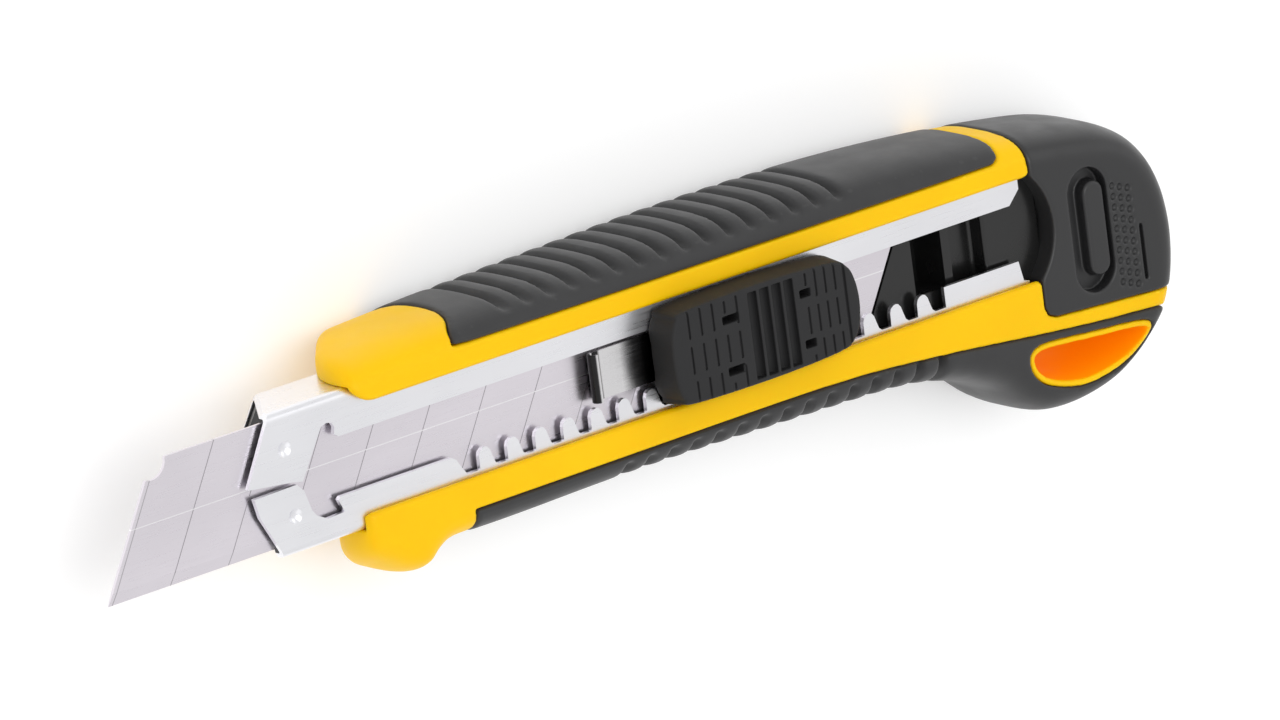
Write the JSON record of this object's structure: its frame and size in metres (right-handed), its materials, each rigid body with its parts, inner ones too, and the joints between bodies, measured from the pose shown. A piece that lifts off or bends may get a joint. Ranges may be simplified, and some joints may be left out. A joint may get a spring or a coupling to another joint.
{
  "type": "utility knife",
  "caption": "Auto-loading utility knife: snap-off blade in a steel channel, thumb slider, ribbed soft grip, pull-off end cap and lanyard opening.",
  "frame": {"origin": "centre of the knife's footprint when it lies on its back, on the surface it rests on", "axes": "+X from the blade tip to the end cap, +Y from the cutting edge to the spine, +Z out of the face with the slider"},
  "size_m": [0.1935, 0.045, 0.026],
  "materials": {
    "yellow_plastic": "satin ABS",
    "soft_grip": "matt soft-touch",
    "black_plastic": "fine satin",
    "channel_steel": "bright stainless sheet",
    "blade_steel": "ground and lightly oiled",
    "spring_steel": "tempered spring steel"
  },
  "bodies": {
    "handle": {"handle_body": "yellow_plastic", "grip_top": "soft_grip", "grip_bottom": "soft_grip", "blade_channel": "channel_steel", "nose_block": "black_plastic", "magazine_tray": "black_plastic", "magazine_spring": "spring_steel"},
    "slider": {"slider_button": "black_plastic", "slider_base": "black_plastic", "slider_hooks": "black_plastic", "slider_spring": "spring_steel", "blade_pin": "spring_steel", "cutting_blade": "blade_steel"},
    "magazine": {"magazine_follower": "black_plastic", "spare_blade_1": "blade_steel", "spare_blade_2": "blade_steel", "spare_blade_3": "blade_steel", "spare_blade_4": "blade_steel", "spare_blade_5": "blade_steel"},
    "cap": {"end_cap": "black_plastic"}
  },
  "joints": [
    {"name": "slider_slide", "type": "slide", "parent": "handle", "child": "slider", "axis": [-1, 0, 0], "range_m": [-0.035, 0.035], "deforming": ["slider_spring"]},
    {"name": "magazine_press", "type": "slide", "parent": "handle", "child": "magazine", "axis": [0, 0, -1], "range_m": [0, 0.001], "stiffness_N_per_m": 250, "springref_m": -0.003, "deforming": ["magazine_spring"]},
    {"name": "cap_pull", "type": "slide", "parent": "handle", "child": "cap", "axis": [1, 0, 0], "range_m": [0, 0.02]}
  ]
}
